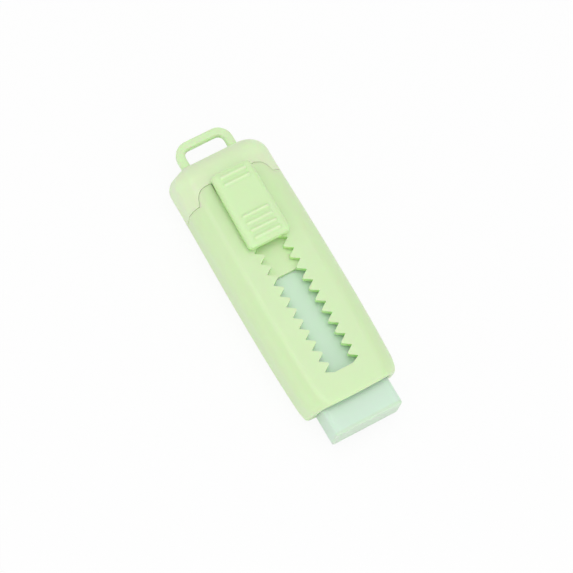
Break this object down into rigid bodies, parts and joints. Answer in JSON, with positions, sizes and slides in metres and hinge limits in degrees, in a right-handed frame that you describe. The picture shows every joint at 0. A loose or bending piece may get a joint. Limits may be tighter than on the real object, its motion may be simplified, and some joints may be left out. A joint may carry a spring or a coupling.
{
  "type": "pencil eraser stick",
  "caption": "Flat sliding eraser: a soft-edged sleeve with a zigzag slot, a ribbed thumb button that pushes the eraser block out of the mouth, and an end cap with a key loop.",
  "frame": {"origin": "on the flat back, under the middle of the whole length with the eraser at rest", "axes": "+X from the key loop towards the eraser, +Y across the width, +Z from the flat back out through the face with the slot"},
  "size_m": [0.0758, 0.024, 0.0172],
  "materials": {
    "sleeve_plastic": "pale green moulded plastic, smooth satin",
    "cap_plastic": "pale green moulded plastic, smooth satin",
    "button_plastic": "pale green moulded plastic, smooth satin",
    "carrier_plastic": "pale green moulded plastic, smooth satin",
    "eraser_vinyl": "pale mint soft vinyl, matt, slightly translucent"
  },
  "bodies": {
    "housing": {"sleeve": "sleeve_plastic"},
    "cap": {"end_cap": "cap_plastic"},
    "slider": {"eraser_carrier": "carrier_plastic", "latch_spring": "carrier_plastic"},
    "button": {"thumb_button": "button_plastic"},
    "eraser": {"eraser_block": "eraser_vinyl"}
  },
  "joints": [
    {"name": "eraser_slide", "type": "slide", "parent": "housing", "child": "slider", "axis": [1, 0, 0], "range_m": [0, 0.03091], "deforming": ["latch_spring"]},
    {"name": "thumb_press", "type": "hinge", "parent": "slider", "child": "button", "pos_m": [-0.0085, 0, 0.01105], "axis": [0, -1, 0], "range_deg": [0, 4.3], "stiffness_Nm_per_rad": 0.3, "springref_deg": -1.72, "deforming": ["latch_spring"]},
    {"name": "eraser_refill", "type": "slide", "parent": "slider", "child": "eraser", "axis": [1, 0, 0], "range_m": [0, 0.044]},
    {"name": "cap_pull", "type": "slide", "parent": "housing", "child": "cap", "axis": [-1, 0, 0], "range_m": [0, 0.012]}
  ]
}
